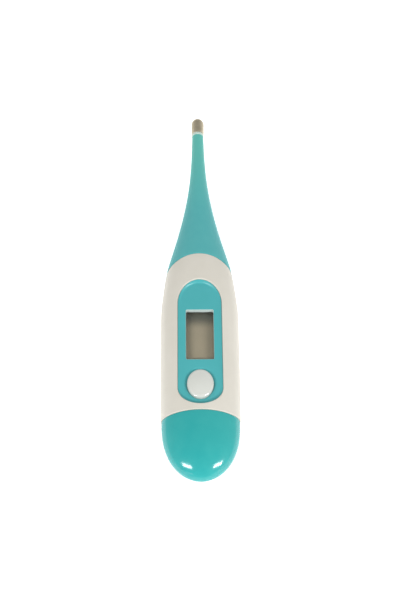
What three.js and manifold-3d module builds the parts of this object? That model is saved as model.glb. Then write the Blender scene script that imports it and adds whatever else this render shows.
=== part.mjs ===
// Digital clinical thermometer with a flexible probe, built as an assembly of separate pieces.
//
// Millimetres. +X is across the display, +Y runs from the battery cap to the metal tip, and +Z
// points out of the display. The origin is at the bottom centre of the whole instrument, which
// lies on the flat of its back shell.
//
// A white front shell and back shell are welded round the widest line. A turquoise face panel sits
// in a well in the front shell and carries the window and the key. A turquoise cap plugs on to the
// battery bay at the back end, and a soft turquoise sleeve runs forward to the steel tip. The
// sleeve bends, so it is made of short links on hinges, each link carrying its own stretch of lead.

import * as THREE from "three";
import { LoftGeometry } from "three/addons/geometries/LoftGeometry.js";
import { mergeVertices } from "three/addons/utils/BufferGeometryUtils.js";
import Module from "manifold-3d";

const wasm = await Module();
wasm.setup();

// ---------------------------------------------------------------- driving dimensions

const TIP_Y = 67.25; // front end of the steel tip, so the whole length is twice this
const AXIS_Z = 6; // height of the widest line and of the probe's axis above the flat back
const WALL = 1.3; // shell and cap wall
const GAP = 0.1; // clearance between pieces that touch in the real instrument
const RING_POINTS = 32; // points round one section of the outer skin

// Outer skin at stations along Y: half width, height above the widest line, depth below it.
const STATIONS = [
  { y: -48, half: 11.52, above: 6.2, below: 6.5 },
  { y: -38, half: 11.66, above: 6.2, below: 6.5 },
  { y: -22, half: 11.65, above: 6.2, below: 6.5 },
  { y: -11, half: 11.6, above: 6.15, below: 6.5 },
  { y: -2.5, half: 10.85, above: 5.9, below: 6.0 },
  { y: 5, half: 9.8, above: 5.45, below: 5.45 },
  { y: 11, half: 8.35, above: 4.85, below: 4.85 },
  { y: 18, half: 6.6, above: 4.1, below: 4.1 },
  { y: 27.5, half: 4.57, above: 3.2, below: 3.2 },
  { y: 37.5, half: 3.07, above: 2.55, below: 2.55 },
  { y: 47.5, half: 2.24, above: 2.1, below: 2.1 },
  { y: 60, half: 1.8, above: 1.8, below: 1.8 },
];

// The back end closes in a dome behind this station: the first power shapes its shoulder and the
// second its pole. The cap that forms it sits a little below the shells' skin all round.
const CAP_INSET = 0.15;
const DOME = { start: -48, depth: TIP_Y - 48 + CAP_INSET, shoulder: 2.5, pole: 1.9 };

// Seams seen from above: arcs about a point on the centre line.
const CAP_SEAM = { centre: -112.9, radius: 65.5 };
const NECK_SEAM = { centre: -4.7, radius: 13.3 };

// Face panel: an oval with a long front end and a short back end.
const PANEL = { front: -1.6, back: -45.4, half: 6.6, frontDepth: 8.2, backDepth: 6 };
const PANEL_FLOOR = 10.65; // top of the panel's flat floor
const PANEL_UNDER = 9.65; // underside of the panel, on the shell's ledge
const LEDGE_UNDER = 8.75; // underside of that ledge
const LEDGE = 1.2; // how far the ledge reaches in from the panel's edge

const WINDOW = { y: -20.9, half: 4.1, long: 8.75 }; // opening over the display, as half sizes
const KEY = { y: -38.2, half: 3.9, long: 4.85, top: 11.9 }; // oval key, as half sizes

const BOARD = { back: -46, neck: -41, front: -6, half: 7.3, tongue: 5, under: 3.75, thick: 0.8 };
const BOARD_TOP = BOARD.under + BOARD.thick;

const CELL = { y: -57.8, radius: 3.95, under: 4.3, thick: 3.6 }; // 7.9 mm button cell
const BAY = { front: -42, back: -54, half: 5.6, low: 3.5, high: 9 }; // spigot that the cap fits on
const SEAL = { y: -51, wide: 1.2 };

// Probe: hinges along the sleeve, which bend up and down and sway sideways by turns.
const HINGES = [35, 40, 45, 50, 55];
const HINGE_GAP = 0.2; // clearance on each side of a hinge, at the axis
const BEND_SLOPE = 0.2; // how fast a link's end falls away from the hinge, enough to turn 20 degrees
const BORE = 0.8; // bore for the lead
const LAND = 1.05; // half width of the flat left at the middle of a link's end
const TIP = { radius: 2, wall: 0.25, back: 60.75 };
const COLLAR = { back: 59.75, radius: 1.92 };
const CORE = { back: -0.5, front: 24 };

// ---------------------------------------------------------------- materials

const paint = (color, roughness, metalness = 0) =>
  new THREE.MeshStandardMaterial({ color, roughness, metalness });

const WHITE = paint(0xe9e6dc, 0.35);
const TURQUOISE = paint(0x3fb0ae, 0.3);
const RUBBER = paint(0x55b2ae, 0.6);
const KEY_WHITE = paint(0xf0efec, 0.25);
const CLEAR = paint(0xdfe8e6, 0.08);
const DISPLAY = paint(0x938b78, 0.25);
const FOIL = paint(0xb9b9b4, 0.4, 0.8);
const FOAM = paint(0x33342f, 0.9);
const IVORY = paint(0xd9d4c6, 0.5);
const BOARD_GREEN = paint(0x1f6b43, 0.45);
const EPOXY = paint(0x15161a, 0.35);
const CERAMIC = paint(0xb8a58c, 0.6);
const STEEL = paint(0xa9a597, 0.28, 0.9);
const BRASS = paint(0xc9a24b, 0.35, 0.9);
const SILICONE = paint(0xc9cdca, 0.6);
const LEAD_GREY = paint(0xb4b6b8, 0.5);
const RESIN = paint(0x6e5a45, 0.5);

// ---------------------------------------------------------------- solids

// A three.js geometry as a manifold solid: only positions are kept, and shared corners are merged.
function solid(geometry) {
  const bare = new THREE.BufferGeometry();
  bare.setAttribute("position", geometry.getAttribute("position"));
  bare.setIndex(geometry.getIndex());
  const merged = mergeVertices(bare, 1e-4);
  return new wasm.Manifold(
    new wasm.Mesh({
      numProp: 3,
      vertProperties: merged.attributes.position.array,
      triVerts: new Uint32Array(merged.index.array),
    }),
  );
}

// A manifold solid as a three.js geometry.
function geometryOf(body) {
  const mesh = body.getMesh();
  const geometry = new THREE.BufferGeometry();
  geometry.setAttribute("position", new THREE.BufferAttribute(new Float32Array(mesh.vertProperties), 3));
  geometry.setIndex(new THREE.BufferAttribute(new Uint32Array(mesh.triVerts), 1));
  geometry.computeVertexNormals();
  return geometry;
}

// A plate: a flat outline raised from one height to another.
function plate(shape, low, high, curveSegments = 10) {
  const geometry = new THREE.ExtrudeGeometry(shape, {
    depth: high - low,
    bevelEnabled: false,
    curveSegments,
  });
  return solid(geometry.translate(0, 0, low));
}

// A box from its centre in X and Y, its half sizes, and its lowest and highest Z.
function block(x, y, halfX, halfY, low, high) {
  const geometry = new THREE.BoxGeometry(2 * halfX, 2 * halfY, high - low);
  return solid(geometry.translate(x, y, (low + high) / 2));
}

// An upright cylinder.
function post(x, y, radius, low, high, segments = 24) {
  const geometry = new THREE.CylinderGeometry(radius, radius, high - low, segments);
  return solid(geometry.rotateX(Math.PI / 2).translate(x, y, (low + high) / 2));
}

// A cylinder along the probe's axis.
function rod(radius, back, front, segments = 20) {
  const geometry = new THREE.CylinderGeometry(radius, radius, front - back, segments);
  return solid(geometry.translate(0, (back + front) / 2, AXIS_Z));
}

// A shape turned about the probe's axis, from points given as (radius, y).
function turned(points, segments = 20) {
  const profile = points.map(([radius, y]) => new THREE.Vector2(radius, y));
  return solid(new THREE.LatheGeometry(profile, segments).translate(0, 0, AXIS_Z));
}

// An oval outline about a point on the centre line.
function oval(y, half, long) {
  const shape = new THREE.Shape();
  shape.absellipse(0, y, half, long, 0, 2 * Math.PI, false);
  return shape;
}

// A strip of metal bent in the YZ plane: its centre line as (y, z) points, its thickness and width.
function bentStrip(x, width, thick, line) {
  const upper = line.map(([y, z]) => new THREE.Vector2(y, z + thick / 2));
  const lower = line.map(([y, z]) => new THREE.Vector2(y, z - thick / 2)).reverse();
  const shape = new THREE.Shape([...upper, ...lower]);
  const geometry = new THREE.ExtrudeGeometry(shape, { depth: width, bevelEnabled: false });
  const upright = new THREE.Matrix4().makeBasis(
    new THREE.Vector3(0, 1, 0),
    new THREE.Vector3(0, 0, 1),
    new THREE.Vector3(1, 0, 0),
  );
  return solid(geometry.applyMatrix4(upright).translate(x - width / 2, 0, 0));
}

// ---------------------------------------------------------------- outer skin

// Cubic through the stations, with each slope taken from its two neighbours.
function alongStations(key, y) {
  const last = STATIONS.length - 1;
  const next = STATIONS.findIndex((s) => s.y >= y);
  const i = Math.min(Math.max(next < 0 ? last : next, 1), last);
  const [p, q] = [STATIONS[i - 1], STATIONS[i]];
  const slope = (j) => {
    const [before, after] = [STATIONS[Math.max(j - 1, 0)], STATIONS[Math.min(j + 1, last)]];
    return (after[key] - before[key]) / (after.y - before.y);
  };
  const span = q.y - p.y;
  const t = THREE.MathUtils.clamp((y - p.y) / span, 0, 1);
  const rise = q[key] - p[key];
  const [a, b] = [slope(i - 1) * span - rise, rise - slope(i) * span];
  return p[key] + t * rise + t * (1 - t) * (a * (1 - t) + b * t);
}

// Half width, height and depth of the skin at y, moved in by a given distance.
function skinAt(y, inset) {
  const inDome = y < DOME.start;
  const at = (key) => alongStations(key, inDome ? DOME.start : y) - inset;
  const reach = Math.min((DOME.start - y) / (DOME.depth - inset), 1);
  const close = inDome ? (1 - reach ** DOME.shoulder) ** (1 / DOME.pole) : 1;
  const size = (key) => Math.max(at(key) * close, 0.3);
  return { half: size("half"), above: size("above"), below: size("below") };
}

// One closed section of the skin, shrunk about the axis if asked, and flat where it meets the back.
function section(y, inset = 0, shrink = 1, place = y) {
  const skin = skinAt(y, inset);
  return Array.from({ length: RING_POINTS }, (_, i) => {
    const turn = (2 * Math.PI * i) / RING_POINTS;
    const lift = Math.sin(turn) * (turn < Math.PI ? skin.above : skin.below) * shrink;
    const x = -Math.cos(turn) * skin.half * shrink;
    return new THREE.Vector3(x, place, Math.max(AXIS_Z + lift, inset));
  });
}

function loft(sections) {
  return solid(new LoftGeometry(sections, { capStart: true, capEnd: true }));
}

// The skin's solid between two stations, moved in by a given distance. Sections crowd together
// towards the back of the dome, where the skin turns in.
function skinSolid(back, front, inset = 0, step = inset > 1 ? 7 : 5) {
  const depth = DOME.depth - inset;
  const end = DOME.start - depth;
  const turns = 8;
  const inDome = Array.from({ length: turns }, (_, i) => {
    return DOME.start - depth * Math.cos((i / turns) * (Math.PI / 2));
  });
  const first = Math.max(back, DOME.start);
  const steps = Math.max(Math.ceil((front - first) / step), 0);
  const ahead = Array.from({ length: steps }, (_, i) => first + ((front - first) * i) / steps);
  const between = [...inDome, ...ahead].filter((y) => y > Math.max(back, end) && y < front);
  return loft([Math.max(back, end), ...between, front].map((y) => section(y, inset)));
}

// The zone between two seams seen from above, as an upright block to cut the skin with.
// Each seam is moved by a small distance along Y, so that neighbours keep a gap.
function zone(back, front) {
  const shape = new THREE.Shape();
  const side = 13;
  if (typeof back === "number") shape.moveTo(-side, back).lineTo(side, back);
  else {
    const swing = Math.asin(side / back.radius);
    shape.absarc(0, back.centre, back.radius, Math.PI / 2 + swing, Math.PI / 2 - swing, true);
  }
  if (typeof front === "number") shape.lineTo(side, front).lineTo(-side, front);
  else {
    const swing = Math.asin(side / front.radius);
    shape.absarc(0, front.centre, front.radius, Math.PI / 2 - swing, Math.PI / 2 + swing, false);
  }
  return plate(shape, -2, 15, 24);
}

const moved = (seam, distance) => ({ ...seam, centre: seam.centre + distance });

// ---------------------------------------------------------------- face panel outline

function panelShape(inset) {
  const half = PANEL.half - inset;
  const shape = new THREE.Shape();
  const front = PANEL.front - PANEL.frontDepth;
  const back = PANEL.back + PANEL.backDepth;
  shape.absellipse(0, front, half, PANEL.frontDepth - inset, 0, Math.PI, false);
  shape.absellipse(0, back, half, PANEL.backDepth - inset, Math.PI, 2 * Math.PI, false);
  return shape;
}

// The dish over the panel's floor: its wall curves out as it rises.
function panelDish() {
  const levels = [
    [PANEL_FLOOR, 1.45],
    [PANEL_FLOOR + 0.2, 1.0],
    [PANEL_FLOOR + 0.65, 0.7],
    [PANEL_FLOOR + 1.9, 0.35],
  ];
  const sections = levels.map(([z, inset]) =>
    panelShape(inset)
      .getPoints(10)
      .slice(0, -1)
      .map((p) => new THREE.Vector3(p.x, p.y, z)),
  );
  return loft(sections);
}

// ---------------------------------------------------------------- housing

const TOP = 20; // any height above the whole instrument
const BELOW = -5; // any height below it
const upperHalf = block(0, 0, 20, 80, AXIS_Z + GAP / 2, TOP);
const lowerHalf = block(0, 0, 20, 80, BELOW, AXIS_Z - GAP / 2);
const bodyZone = zone(moved(CAP_SEAM, GAP / 2), moved(NECK_SEAM, -GAP / 2));
const bodyBlank = skinSolid(-50, 10).intersect(bodyZone);
const bodyHollow = skinSolid(-50, 12, WALL);

function frontShell() {
  const well = plate(panelShape(-0.9), LEDGE_UNDER, TOP).intersect(skinSolid(-50, 10, GAP));
  return bodyBlank
    .subtract(bodyHollow)
    .add(well)
    .subtract(plate(panelShape(0), PANEL_UNDER, TOP))
    .subtract(plate(panelShape(LEDGE), BELOW, TOP))
    .intersect(upperHalf);
}

function backShell() {
  const shell = bodyBlank.subtract(bodyHollow).intersect(lowerHalf);
  const rests = [-36, -12].flatMap((y) =>
    [-6, 6].map((x) => post(x, y, 1, WALL - 0.2, BOARD.under - GAP, 12)),
  );
  const inside = skinSolid(-50, 10, GAP);
  return rests.reduce((body, rest) => body.add(rest.intersect(inside)), shell);
}

function facePanel() {
  const window = block(0, WINDOW.y, WINDOW.half, WINDOW.long, BELOW, TOP);
  const keyHole = plate(oval(KEY.y, KEY.half + 0.15, KEY.long + 0.15), BELOW, TOP, 16);
  return plate(panelShape(GAP), PANEL_UNDER + GAP, TOP)
    .intersect(skinSolid(-50, 2, 0.15))
    .subtract(panelDish())
    .subtract(window)
    .subtract(keyHole);
}

// ---------------------------------------------------------------- display

const LENS = { under: 9.2, step: 9.65, top: 10.35, border: 0.85 };
const GLASS = { half: 4.9, long: 9.7 };

function windowLens() {
  const { half, long } = WINDOW;
  const foot = block(0, WINDOW.y, half + LENS.border, long + LENS.border, LENS.under, LENS.step);
  return foot.add(block(0, WINDOW.y, half - GAP, long - GAP, LENS.step - GAP, LENS.top));
}

function frameBlock(halfIn, longIn, halfOut, longOut, low, high) {
  return block(0, WINDOW.y, halfOut, longOut, low, high).subtract(
    block(0, WINDOW.y, halfIn, longIn, BELOW, TOP),
  );
}

const displayGasket = () =>
  frameBlock(WINDOW.half + 0.15, WINDOW.long + 0.15, GLASS.half, GLASS.long, 8.7, LENS.under - GAP);

const lcdFrontGlass = () => block(0, WINDOW.y, GLASS.half, GLASS.long - 0.1, 7.85, 8.6);

const lcdRearGlass = () => block(0, WINDOW.y, GLASS.half, GLASS.long, 7.05, 7.75);

const lcdReflector = () => block(0.9, WINDOW.y, GLASS.half - 1, GLASS.long - 0.3, 6.75, 6.95);

const zebraStrip = () =>
  block(0.85 - GLASS.half, WINDOW.y, 0.8, GLASS.long - 0.5, BOARD_TOP + GAP, 6.95);

const lcdCradle = () =>
  frameBlock(GLASS.half + GAP, GLASS.long + GAP, 6.2, 10.5, BOARD_TOP + GAP, 8.55);

// ---------------------------------------------------------------- circuit board

// The board narrows to a tongue at the back, which passes through the battery bay's collar.
function circuitBoard() {
  const { back, neck, front, half, tongue, under } = BOARD;
  const main = block(0, (neck + front) / 2, half, (front - neck) / 2, under, BOARD_TOP);
  const tail = block(0, (back + neck + 1) / 2, tongue, (neck + 1 - back) / 2, under, BOARD_TOP);
  return main.add(tail).subtract(post(0, front, 1.2, BELOW, TOP, 16));
}

// Domes are turned about an upright axis from a quarter circle of points.
function dome(y, radius, height, from, up) {
  const steps = 5;
  const profile = Array.from({ length: steps + 1 }, (_, i) => {
    const turn = (i / steps) * (Math.PI / 2);
    return new THREE.Vector2(radius * Math.cos(turn), height * Math.sin(turn));
  });
  profile[steps].x = 0;
  const geometry = new THREE.LatheGeometry([new THREE.Vector2(0, 0), ...profile], 16);
  geometry.rotateX(up ? Math.PI / 2 : -Math.PI / 2);
  return solid(geometry.translate(0, y, from));
}

const chipBlob = () => dome(-19, 3.6, 1.1, BOARD.under - GAP, false);

const snapDome = () => dome(KEY.y, 2.6, 0.42, BOARD_TOP + GAP, true);

const clockCrystal = () => {
  const geometry = new THREE.CylinderGeometry(0.75, 0.75, 6, 16);
  return solid(geometry.translate(4.6, -28, BOARD.under - 0.95));
};

const CHIPS = [
  { name: "capacitor_1", x: -4.4, y: -28, material: CERAMIC },
  { name: "capacitor_2", x: -4.4, y: -32, material: CERAMIC },
  { name: "resistor_1", x: 3.2, y: -33.5, material: EPOXY },
  { name: "resistor_2", x: -3, y: -10, material: EPOXY },
];

const surfaceChip = ({ x, y }) => block(x, y, 0.65, 1, BOARD.under - 0.65, BOARD.under - GAP);

// ---------------------------------------------------------------- buzzer

const BUZZER = { y: -22, plate: 4.3, ceramic: 3.2, under: WALL + GAP };

const buzzerPlate = () =>
  post(0, BUZZER.y, BUZZER.plate, BUZZER.under, BUZZER.under + 0.25, 32);

const buzzerCeramic = () =>
  post(0, BUZZER.y, BUZZER.ceramic, BUZZER.under + 0.3, BUZZER.under + 0.5, 28);

// One lead lands on the ceramic and the other on the rim of the plate.
const BUZZER_LEADS = [
  { name: "buzzer_lead_1", x: 1.5, land: -23.6, height: BUZZER.under + 0.7 },
  { name: "buzzer_lead_2", x: -1.5, land: -25.6, height: BUZZER.under + 0.45 },
];

const buzzerLead = ({ x, land, height }) =>
  bentStrip(x, 0.8, 0.25, [
    [land - 7, BOARD.under - 0.3],
    [land - 5, BOARD.under - 0.35],
    [land - 2.5, height + 0.1],
    [land, height],
  ]);

// ---------------------------------------------------------------- key

function keyCap() {
  const { y, half, long, top } = KEY;
  const levels = [
    [PANEL_UNDER - 0.2, 0],
    [PANEL_FLOOR + 0.15, 0],
    [top - 0.65, 0.25],
    [top - 0.35, 0.8],
    [top - 0.12, 1.7],
    [top, 2.9],
  ];
  const sections = levels.map(([z, inset]) =>
    oval(y, half - inset, long - inset)
      .getPoints(20)
      .slice(0, -1)
      .map((p) => new THREE.Vector3(p.x, p.y, z)),
  );
  const flange = plate(oval(y, half + 0.5, long + 0.45), LEDGE_UNDER, PANEL_UNDER - GAP / 2, 14);
  return loft(sections).add(flange);
}

const keyStem = () =>
  post(0, KEY.y, 3, 8.1, LEDGE_UNDER - GAP).add(post(0, KEY.y, 1.5, 5.15, 8.2, 18));

const keyGasket = () =>
  plate(oval(KEY.y, 6, 6.3), 8, LEDGE_UNDER - GAP, 14).subtract(
    plate(oval(KEY.y, 4.9, 5.55), BELOW, TOP, 14),
  );

// ---------------------------------------------------------------- battery bay and cap

const SPIGOT_INSET = CAP_INSET + WALL + 0.3;

function batteryBay() {
  const collar = skinSolid(-46.9, BAY.front, WALL + 0.2).subtract(
    plate(panelShape(-1.1), LEDGE_UNDER - GAP, TOP),
  );
  const spigot = skinSolid(BAY.back, -46.5, SPIGOT_INSET);
  const groove = skinSolid(SEAL.y - 0.8, SEAL.y + 0.8, 0).subtract(
    skinSolid(SEAL.y - 2, SEAL.y + 2, SPIGOT_INSET + SEAL.wide),
  );
  const passage = block(0, -48, BAY.half, 8, BAY.low, BAY.high);
  const { y, radius, under } = CELL;
  const floor = under - 1;
  const cup = post(0, y, radius + 1.05, floor, under + 3.1, 36);
  const seat = post(0, y, radius + 0.15, under - 0.25, TOP, 36);
  const bridge = block(0, -54.5, 4.4, 2.5, floor, under - 0.25);
  const mouth = block(0, -54, 3.6, 2.4, under - 0.25, TOP);
  return collar
    .add(spigot)
    .subtract(groove)
    .subtract(passage)
    .add(cup.add(bridge))
    .subtract(seat)
    .subtract(mouth);
}

const sealRing = () =>
  skinSolid(SEAL.y - SEAL.wide / 2, SEAL.y + SEAL.wide / 2, SPIGOT_INSET - 0.12).subtract(
    skinSolid(SEAL.y - 2, SEAL.y + 2, SPIGOT_INSET + SEAL.wide - GAP),
  );

const batteryCell = () => {
  const { y, radius, under, thick } = CELL;
  const can = post(0, y, radius, under, under + thick - 0.5, 36);
  return can.add(post(0, y, radius - 0.55, under + thick - 0.6, under + thick, 36));
};

const CONTACT = { wide: 2, thick: 0.15 };

const contactBottom = () =>
  bentStrip(-2.2, CONTACT.wide, CONTACT.thick, [
    [CELL.y - 2.4, CELL.under - 0.13],
    [CELL.y + 5, CELL.under - 0.13],
    [BOARD.back - 1.5, BOARD_TOP + 0.2],
    [BOARD.back + 4, BOARD_TOP + 0.2],
  ]);

const contactTop = () => {
  const above = CELL.under + CELL.thick + 0.15;
  return bentStrip(2.2, CONTACT.wide, CONTACT.thick, [
    [CELL.y - 1.5, above],
    [CELL.y + 4.2, above + 0.1],
    [CELL.y + 5, BOARD_TOP + 0.7],
    [BOARD.back - 1.5, BOARD_TOP + 0.2],
    [BOARD.back + 4, BOARD_TOP + 0.2],
  ]);
};

function batteryCap() {
  const outline = zone(-TIP_Y - 5, moved(CAP_SEAM, -GAP / 2));
  return skinSolid(-TIP_Y, -45, CAP_INSET)
    .intersect(outline)
    .subtract(skinSolid(-TIP_Y, -44, CAP_INSET + WALL));
}

// ---------------------------------------------------------------- probe

function probeCore() {
  const { back, front } = CORE;
  return skinSolid(back, front, WALL + 0.25).subtract(rod(BORE, back - 1, front + 1));
}

// The ends of a link fall away from its hinge like shallow cones, so that it can turn either way.
function linkSections(back, front, backCone, frontCone) {
  const fall = (y) => (skinAt(y, 0).half - LAND) * BEND_SLOPE;
  const steps = Math.max(2, Math.ceil((front - back) / 3));
  const [low, high] = [back + (backCone ? fall(back) : 0), front - (frontCone ? fall(front) : 0)];
  const rings = Array.from({ length: steps + 1 }, (_, i) => section(low + ((high - low) * i) / steps));
  if (backCone) rings.unshift(section(low, 0, LAND / skinAt(low, 0).half, back));
  if (frontCone) rings.push(section(high, 0, LAND / skinAt(high, 0).half, front));
  return rings;
}

function sleeveRoot() {
  const front = HINGES[0] - HINGE_GAP;
  return loft(linkSections(3, front, false, true))
    .intersect(zone(moved(NECK_SEAM, GAP / 2), TIP_Y))
    .subtract(skinSolid(CORE.back, CORE.front + 0.1, WALL + 0.15))
    .subtract(rod(BORE, 0, front + 1));
}

function sleeveLink(i) {
  const isLast = i === HINGES.length - 1;
  const back = HINGES[i] + HINGE_GAP;
  const front = isLast ? COLLAR.back - GAP / 2 : HINGES[i + 1] - HINGE_GAP;
  const link = loft(linkSections(back, front, true, !isLast)).subtract(rod(BORE, back - 1, front + 1));
  return isLast ? link.subtract(rod(1.3, COLLAR.back - 2.1, front + 1)) : link;
}

// The lead is a pair of insulated wires moulded side by side.
function lead(points) {
  const [radius, apart] = [0.26, 0.24];
  const section = new THREE.Shape();
  section.absarc(apart, 0, radius, -Math.PI / 2, Math.PI / 2, false);
  section.absarc(-apart, 0, radius, Math.PI / 2, (3 * Math.PI) / 2, false);
  const sections = points.map(([y, z]) =>
    section
      .getPoints(4)
      .slice(0, -1)
      .map((p) => new THREE.Vector3(-p.x, y, z + p.y)),
  );
  return loft(sections);
}

const leadRoot = () =>
  lead([
    [BOARD.front - 3, BOARD_TOP + 0.4],
    [BOARD.front - 1, BOARD_TOP + 0.45],
    [CORE.back - 0.6, AXIS_Z - 0.1],
    [CORE.back + 1, AXIS_Z],
    [HINGES[0] - HINGE_GAP, AXIS_Z],
  ]);

const leadLink = (i) => {
  const isLast = i === HINGES.length - 1;
  const front = isLast ? THERMISTOR.back - GAP : HINGES[i + 1] - HINGE_GAP;
  return lead([
    [HINGES[i] + HINGE_GAP, AXIS_Z],
    [front, AXIS_Z],
  ]);
};

const THERMISTOR = { back: 64, front: 66.2, radius: 0.6 };
const DOME_CENTRE = TIP_Y - TIP.radius;

// Points of a quarter circle on the probe's axis, from its rim to the front.
function roundNose(radius) {
  const steps = 6;
  return Array.from({ length: steps + 1 }, (_, i) => {
    const turn = (i / steps) * (Math.PI / 2);
    return [i === steps ? 0 : radius * Math.cos(turn), DOME_CENTRE + radius * Math.sin(turn)];
  });
}

function tipCap() {
  const inner = TIP.radius - TIP.wall;
  return turned([
    [TIP.radius, TIP.back],
    ...roundNose(TIP.radius),
    ...roundNose(inner).reverse(),
    [inner, TIP.back],
    [TIP.radius, TIP.back],
  ]);
}

function tipCollar() {
  const [bore, plug] = [0.85, TIP.radius - TIP.wall - GAP];
  return turned([
    [bore, COLLAR.back - 2],
    [1.2, COLLAR.back - 2],
    [1.2, COLLAR.back],
    [COLLAR.radius, COLLAR.back],
    [COLLAR.radius, TIP.back - GAP / 2],
    [plug, TIP.back - GAP / 2],
    [plug, TIP.back + 1.8],
    [bore, TIP.back + 1.8],
    [bore, COLLAR.back - 2],
  ]);
}

function thermalResin() {
  const outer = TIP.radius - TIP.wall - GAP;
  const back = TIP.back + 1.9;
  const bore = THERMISTOR.radius + GAP;
  return turned([
    [bore, back],
    [outer, back],
    ...roundNose(outer),
    [0, THERMISTOR.front + GAP],
    [bore, THERMISTOR.front + GAP],
    [bore, back],
  ]);
}

function thermistorBead() {
  const { back, front, radius } = THERMISTOR;
  return turned(
    [
      [0, back],
      [radius * 0.7, back],
      [radius, back + 0.35],
      [radius, front - 0.45],
      [radius * 0.6, front - 0.1],
      [0, front],
    ],
    16,
  );
}

// ---------------------------------------------------------------- assembly

const thermometer = new THREE.Group();

function add(name, body, material) {
  const mesh = new THREE.Mesh(geometryOf(body), material);
  mesh.name = name;
  thermometer.add(mesh);
}

add("front_shell", frontShell(), WHITE);
add("back_shell", backShell(), WHITE);
add("face_panel", facePanel(), TURQUOISE);
add("window_lens", windowLens(), CLEAR);
add("display_gasket", displayGasket(), FOAM);
add("lcd_front_glass", lcdFrontGlass(), DISPLAY);
add("lcd_rear_glass", lcdRearGlass(), DISPLAY);
add("lcd_reflector", lcdReflector(), FOIL);
add("lcd_cradle", lcdCradle(), IVORY);
add("zebra_strip", zebraStrip(), FOAM);
add("circuit_board", circuitBoard(), BOARD_GREEN);
add("chip_blob", chipBlob(), EPOXY);
add("clock_crystal", clockCrystal(), STEEL);
CHIPS.forEach((chip) => add(chip.name, surfaceChip(chip), chip.material));
add("snap_dome", snapDome(), STEEL);
add("buzzer_plate", buzzerPlate(), BRASS);
add("buzzer_ceramic", buzzerCeramic(), CERAMIC);
BUZZER_LEADS.forEach((strip) => add(strip.name, buzzerLead(strip), LEAD_GREY));

add("key_cap", keyCap(), KEY_WHITE);
add("key_stem", keyStem(), SILICONE);
add("key_gasket", keyGasket(), SILICONE);

add("battery_bay", batteryBay(), IVORY);
add("seal_ring", sealRing(), SILICONE);
add("battery_cell", batteryCell(), STEEL);
add("contact_bottom", contactBottom(), BRASS);
add("contact_top", contactTop(), BRASS);
add("battery_cap", batteryCap(), TURQUOISE);

add("probe_core", probeCore(), IVORY);
add("sleeve_root", sleeveRoot(), RUBBER);
add("lead_root", leadRoot(), LEAD_GREY);
HINGES.forEach((_, i) => {
  add(`sleeve_link_${i + 1}`, sleeveLink(i), RUBBER);
  add(`lead_link_${i + 1}`, leadLink(i), LEAD_GREY);
});
add("tip_collar", tipCollar(), KEY_WHITE);
add("tip_cap", tipCap(), STEEL);
add("thermal_resin", thermalResin(), RESIN);
add("thermistor", thermistorBead(), EPOXY);

export default thermometer;
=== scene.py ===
# %% [markdown]
# # A clinical thermometer with a bending probe
# The instrument is a slim handle with a display and one key, a cap over its battery, and a soft
# sleeve that narrows to a steel tip. The engineering model already has every piece in its place,
# so this lesson loads it as a fixed frame, lays finer surfaces over the pieces that show, and
# gives every piece its finish. Lengths are in millimetres until the last step of each helper,
# because that is how such a thing is drawn, and Blender's own unit is the metre.

import math

import bmesh
import bpy
from mathutils import Matrix, Vector


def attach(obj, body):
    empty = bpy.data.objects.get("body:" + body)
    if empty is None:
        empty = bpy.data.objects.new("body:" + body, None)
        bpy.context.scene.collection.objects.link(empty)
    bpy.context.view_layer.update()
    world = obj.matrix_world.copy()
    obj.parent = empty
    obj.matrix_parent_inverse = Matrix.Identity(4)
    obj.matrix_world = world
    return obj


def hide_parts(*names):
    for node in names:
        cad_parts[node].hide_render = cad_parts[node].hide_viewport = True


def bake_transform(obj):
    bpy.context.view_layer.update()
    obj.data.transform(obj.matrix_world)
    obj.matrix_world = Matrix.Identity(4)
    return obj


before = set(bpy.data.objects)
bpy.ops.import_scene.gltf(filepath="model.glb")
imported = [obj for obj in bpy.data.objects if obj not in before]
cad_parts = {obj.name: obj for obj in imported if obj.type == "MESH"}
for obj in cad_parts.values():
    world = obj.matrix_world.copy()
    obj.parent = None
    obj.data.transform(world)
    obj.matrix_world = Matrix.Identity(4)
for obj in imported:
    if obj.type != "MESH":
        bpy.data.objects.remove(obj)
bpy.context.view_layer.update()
MM = 0.001

# %% [markdown]
# ## The outer skin
# Every outside piece lies on one smooth skin: an oval section whose half width, height and depth
# change along the length. A handful of stations and a cubic between them is how a designer draws
# such a body, and it keeps all the pieces flush. Behind the last station the skin closes in a
# dome, and underneath it is flattened where the instrument lies on a table.

# %% Stations of the skin
AXIS_Z = 6.0
HALF, ABOVE, BELOW = 0, 1, 2
STATIONS = (  # place along Y, then half width, height above the axis, depth below it
    (-48, (11.52, 6.2, 6.5)),
    (-38, (11.66, 6.2, 6.5)),
    (-22, (11.65, 6.2, 6.5)),
    (-11, (11.6, 6.15, 6.5)),
    (-2.5, (10.85, 5.9, 6.0)),
    (5, (9.8, 5.45, 5.45)),
    (11, (8.35, 4.85, 4.85)),
    (18, (6.6, 4.1, 4.1)),
    (27.5, (4.57, 3.2, 3.2)),
    (37.5, (3.07, 2.55, 2.55)),
    (47.5, (2.24, 2.1, 2.1)),
    (60, (1.8, 1.8, 1.8)),
)
CAP_INSET = 0.15
DOME_START = -48
DOME_DEPTH = 19.4
DOME_SHOULDER, DOME_POLE = 2.5, 1.9  # powers that shape the dome's start and its end
FLAT_EASE = 0.25  # how softly the flat underneath runs into the curve


def slope_at(i, key):
    before, after = STATIONS[max(i - 1, 0)], STATIONS[min(i + 1, len(STATIONS) - 1)]
    return (after[1][key] - before[1][key]) / (after[0] - before[0])


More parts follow.
